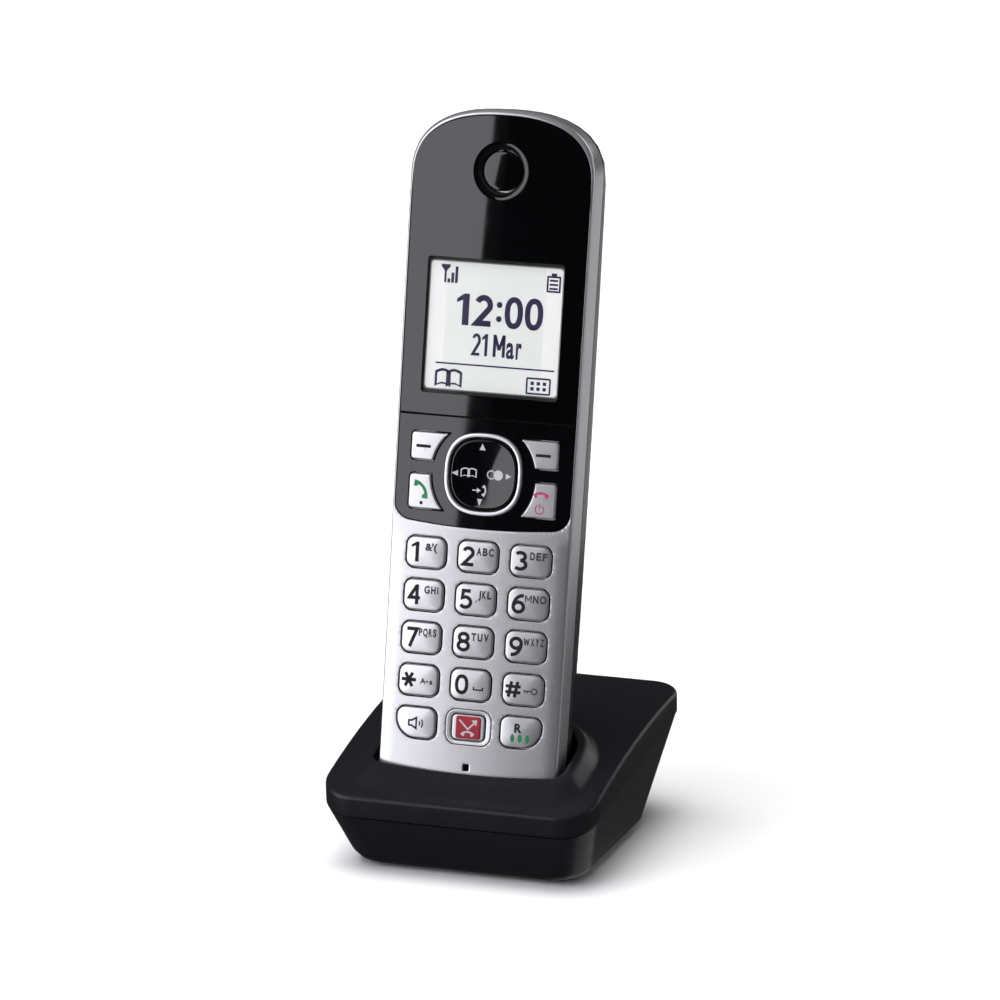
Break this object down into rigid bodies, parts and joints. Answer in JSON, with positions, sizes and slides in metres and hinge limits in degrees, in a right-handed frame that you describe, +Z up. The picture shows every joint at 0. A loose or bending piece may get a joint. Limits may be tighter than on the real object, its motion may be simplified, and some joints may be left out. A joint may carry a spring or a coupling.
{
  "type": "cordless phone handset with charging cradle",
  "caption": "Slim cordless telephone handset with display and keypad, leaning back in the pocket of a small wedge-shaped charging cradle.",
  "frame": {"origin": "on the surface the cradle stands on, under the middle of the whole object's box", "axes": "+X to the right as the user faces the keypad, +Y to the back, +Z up"},
  "size_m": [0.072, 0.0746, 0.1851],
  "materials": {
    "cradle_black": "fine satin moulded plastic",
    "foot_rubber": "soft matt rubber",
    "steel": "plated steel",
    "circuit_board": "green solder mask",
    "connector_black": "matt moulding",
    "gold_contact": "plated spring metal",
    "silver_paint": "silver metallic paint on plastic",
    "rear_black": "semi gloss moulded plastic",
    "window_black": "mirror gloss black",
    "panel_black": "mirror gloss black",
    "bright_trim": "bright plated trim",
    "display": "backlit display, dark marks",
    "display_frame": "white backlight frame",
    "mat_rubber": "silicone rubber",
    "speaker_black": "speaker frame",
    "battery_sleeve": "printed battery sleeve",
    "key_silver": "silver painted key caps",
    "block_key": "red key cap with white mark"
  },
  "bodies": {
    "cradle": {"cradle_top_cover": "cradle_black", "cradle_base": "cradle_black", "cradle_feet": "foot_rubber", "cradle_screws": "steel", "charge_board": "circuit_board", "dc_jack": "connector_black", "contact_holder": "connector_black"},
    "charge_contact_left": {"charge_contact_left": "gold_contact"},
    "charge_contact_right": {"charge_contact_right": "gold_contact"},
    "handset": {"front_housing": "silver_paint", "rear_housing": "rear_black", "window_lens": "window_black", "nav_panel": "panel_black", "nav_ring": "bright_trim", "call_block_bezel": "bright_trim", "earpiece_cover": "window_black", "earpiece_speaker": "steel", "lcd_glass": "display", "lcd_module": "display_frame", "main_board": "circuit_board", "key_domes": "steel", "keypad_mat": "mat_rubber", "rf_shield": "steel", "microphone": "steel", "loudspeaker": "speaker_black", "antenna": "gold_contact", "battery_left": "battery_sleeve", "battery_right": "battery_sleeve", "battery_springs": "steel", "battery_plates": "steel", "charge_plates": "steel", "handset_screws": "steel", "nav_saddle": "mat_rubber"},
    "battery_cover": {"battery_cover": "rear_black"},
    "nav_pivot": {"nav_pivot": "steel"},
    "nav_key": {"nav_key": "panel_black"},
    "key_1": {"key_1": "key_silver"},
    "key_2": {"key_2": "key_silver"},
    "key_3": {"key_3": "key_silver"},
    "key_4": {"key_4": "key_silver"},
    "key_5": {"key_5": "key_silver"},
    "key_6": {"key_6": "key_silver"},
    "key_7": {"key_7": "key_silver"},
    "key_8": {"key_8": "key_silver"},
    "key_9": {"key_9": "key_silver"},
    "key_star": {"key_star": "key_silver"},
    "key_0": {"key_0": "key_silver"},
    "key_hash": {"key_hash": "key_silver"},
    "key_speaker": {"key_speaker": "key_silver"},
    "key_call_block": {"key_call_block": "block_key"},
    "key_recall": {"key_recall": "key_silver"},
    "soft_key_left": {"soft_key_left": "key_silver"},
    "soft_key_right": {"soft_key_right": "key_silver"},
    "talk_key": {"talk_key": "key_silver"},
    "off_key": {"off_key": "key_silver"}
  },
  "joints": [
    {"name": "handset_lift", "type": "slide", "parent": "cradle", "child": "handset", "axis": [0, 0.2368, 0.9715], "range_m": [0, 0.055]},
    {"name": "battery_cover_slide", "type": "slide", "parent": "handset", "child": "battery_cover", "axis": [0, 0.1959, -0.9806], "range_m": [0, 0.005]},
    {"name": "nav_tilt_sideways", "type": "hinge", "parent": "handset", "child": "nav_pivot", "pos_m": [0, -0.00535, 0.09671], "axis": [0, 0.2368, 0.9715], "range_deg": [-3.5, 3.5], "stiffness_Nm_per_rad": 0.16},
    {"name": "nav_tilt_up_down", "type": "hinge", "parent": "nav_pivot", "child": "nav_key", "pos_m": [0, -0.00535, 0.09671], "axis": [1, 0, 0], "range_deg": [-3.5, 3.5], "stiffness_Nm_per_rad": 0.16},
    {"name": "charge_contact_left_press", "type": "slide", "parent": "cradle", "child": "charge_contact_left", "axis": [0, -0.2368, -0.9715], "range_m": [0, 0.0008], "stiffness_N_per_m": 300, "springref_m": -0.0005},
    {"name": "charge_contact_right_press", "type": "slide", "parent": "cradle", "child": "charge_contact_right", "axis": [0, -0.2368, -0.9715], "range_m": [0, 0.0008], "stiffness_N_per_m": 300, "springref_m": -0.0005},
    {"name": "key_1_press", "type": "slide", "parent": "handset", "child": "key_1", "axis": [0, 0.9715, -0.2368], "range_m": [0, 0.0007], "stiffness_N_per_m": 400, "springref_m": -0.0005},
    {"name": "key_2_press", "type": "slide", "parent": "handset", "child": "key_2", "axis": [0, 0.9715, -0.2368], "range_m": [0, 0.0007], "stiffness_N_per_m": 400, "springref_m": -0.0005},
    {"name": "key_3_press", "type": "slide", "parent": "handset", "child": "key_3", "axis": [0, 0.9715, -0.2368], "range_m": [0, 0.0007], "stiffness_N_per_m": 400, "springref_m": -0.0005},
    {"name": "key_4_press", "type": "slide", "parent": "handset", "child": "key_4", "axis": [0, 0.9715, -0.2368], "range_m": [0, 0.0007], "stiffness_N_per_m": 400, "springref_m": -0.0005},
    {"name": "key_5_press", "type": "slide", "parent": "handset", "child": "key_5", "axis": [0, 0.9715, -0.2368], "range_m": [0, 0.0007], "stiffness_N_per_m": 400, "springref_m": -0.0005},
    {"name": "key_6_press", "type": "slide", "parent": "handset", "child": "key_6", "axis": [0, 0.9715, -0.2368], "range_m": [0, 0.0007], "stiffness_N_per_m": 400, "springref_m": -0.0005},
    {"name": "key_7_press", "type": "slide", "parent": "handset", "child": "key_7", "axis": [0, 0.9715, -0.2368], "range_m": [0, 0.0007], "stiffness_N_per_m": 400, "springref_m": -0.0005},
    {"name": "key_8_press", "type": "slide", "parent": "handset", "child": "key_8", "axis": [0, 0.9715, -0.2368], "range_m": [0, 0.0007], "stiffness_N_per_m": 400, "springref_m": -0.0005},
    {"name": "key_9_press", "type": "slide", "parent": "handset", "child": "key_9", "axis": [0, 0.9715, -0.2368], "range_m": [0, 0.0007], "stiffness_N_per_m": 400, "springref_m": -0.0005},
    {"name": "key_star_press", "type": "slide", "parent": "handset", "child": "key_star", "axis": [0, 0.9715, -0.2368], "range_m": [0, 0.0007], "stiffness_N_per_m": 400, "springref_m": -0.0005},
    {"name": "key_0_press", "type": "slide", "parent": "handset", "child": "key_0", "axis": [0, 0.9715, -0.2368], "range_m": [0, 0.0007], "stiffness_N_per_m": 400, "springref_m": -0.0005},
    {"name": "key_hash_press", "type": "slide", "parent": "handset", "child": "key_hash", "axis": [0, 0.9715, -0.2368], "range_m": [0, 0.0007], "stiffness_N_per_m": 400, "springref_m": -0.0005},
    {"name": "key_speaker_press", "type": "slide", "parent": "handset", "child": "key_speaker", "axis": [0, 0.9715, -0.2368], "range_m": [0, 0.0007], "stiffness_N_per_m": 400, "springref_m": -0.0005},
    {"name": "key_call_block_press", "type": "slide", "parent": "handset", "child": "key_call_block", "axis": [0, 0.9715, -0.2368], "range_m": [0, 0.0007], "stiffness_N_per_m": 400, "springref_m": -0.0005},
    {"name": "key_recall_press", "type": "slide", "parent": "handset", "child": "key_recall", "axis": [0, 0.9715, -0.2368], "range_m": [0, 0.0007], "stiffness_N_per_m": 400, "springref_m": -0.0005},
    {"name": "soft_key_left_press", "type": "slide", "parent": "handset", "child": "soft_key_left", "axis": [0, 0.9715, -0.2368], "range_m": [0, 0.0007], "stiffness_N_per_m": 400, "springref_m": -0.0005},
    {"name": "soft_key_right_press", "type": "slide", "parent": "handset", "child": "soft_key_right", "axis": [0, 0.9715, -0.2368], "range_m": [0, 0.0007], "stiffness_N_per_m": 400, "springref_m": -0.0005},
    {"name": "talk_key_press", "type": "slide", "parent": "handset", "child": "talk_key", "axis": [0, 0.9715, -0.2368], "range_m": [0, 0.0007], "stiffness_N_per_m": 400, "springref_m": -0.0005},
    {"name": "off_key_press", "type": "slide", "parent": "handset", "child": "off_key", "axis": [0, 0.9715, -0.2368], "range_m": [0, 0.0007], "stiffness_N_per_m": 400, "springref_m": -0.0005}
  ]
}
